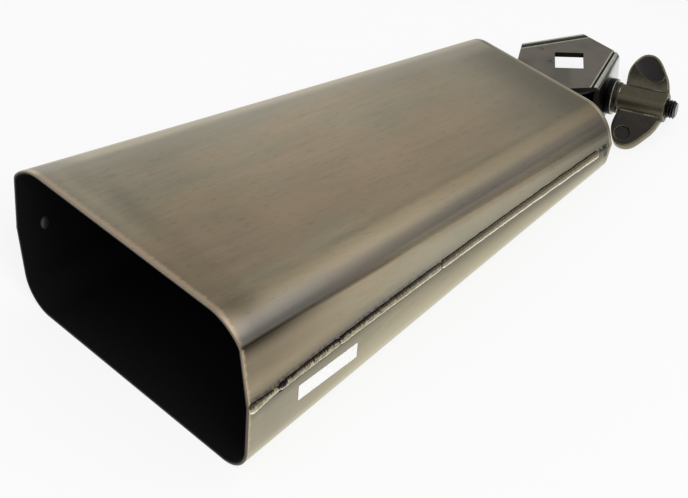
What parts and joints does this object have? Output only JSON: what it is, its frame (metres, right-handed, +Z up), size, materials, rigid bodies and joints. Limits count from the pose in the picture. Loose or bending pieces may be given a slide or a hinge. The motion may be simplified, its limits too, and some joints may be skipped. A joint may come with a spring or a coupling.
{
  "type": "mambo cowbell",
  "caption": "Tapered sheet-metal cowbell with an open mouth, welded side seams and a clamp bracket whose eye bolt and wing nut grip a percussion rod.",
  "frame": {"origin": "on the plane of the bell's lower face, below the middle of its length", "axes": "+Y from the open mouth to the closed end and its bracket, +Z up from the lower face, +X to the side with the wing nut"},
  "size_m": [0.1479, 0.2706, 0.0702],
  "materials": {
    "shell": "brushed along the bell, antique bronze lacquer, worn bright at the edges",
    "weld": "ground weld bead under the same lacquer",
    "bracket": "satin dark bronze",
    "washer": "black oxide",
    "nut": "cast, dark bronze, polished rims",
    "bolt": "black oxide, bright at its end"
  },
  "bodies": {
    "bell": {"upper_shell": "shell", "lower_shell": "shell", "end_plate": "shell", "right_seam_weld": "weld", "left_seam_weld": "weld", "clamp_bracket": "bracket", "bracket_top_weld": "weld", "bracket_bottom_weld": "weld", "washer": "washer"},
    "wing_nut": {"wing_nut": "nut"},
    "eye_bolt": {"eye_bolt": "bolt"}
  },
  "joints": [
    {"name": "wing_nut_turn", "type": "hinge", "parent": "bell", "child": "wing_nut", "pos_m": [0.01658, 0.13507, 0.01205], "axis": [0.9021, 0.4297, -0.0387], "range_deg": [0, 1080]},
    {"name": "eye_bolt_draw", "type": "slide", "parent": "bell", "child": "eye_bolt", "axis": [-0.9021, -0.4297, 0.0387], "range_m": [0, 0.0038]}
  ],
  "couplings": [
    {"joint": "eye_bolt_draw", "follows": "wing_nut_turn", "m_per_rad": 0.00019894}
  ]
}
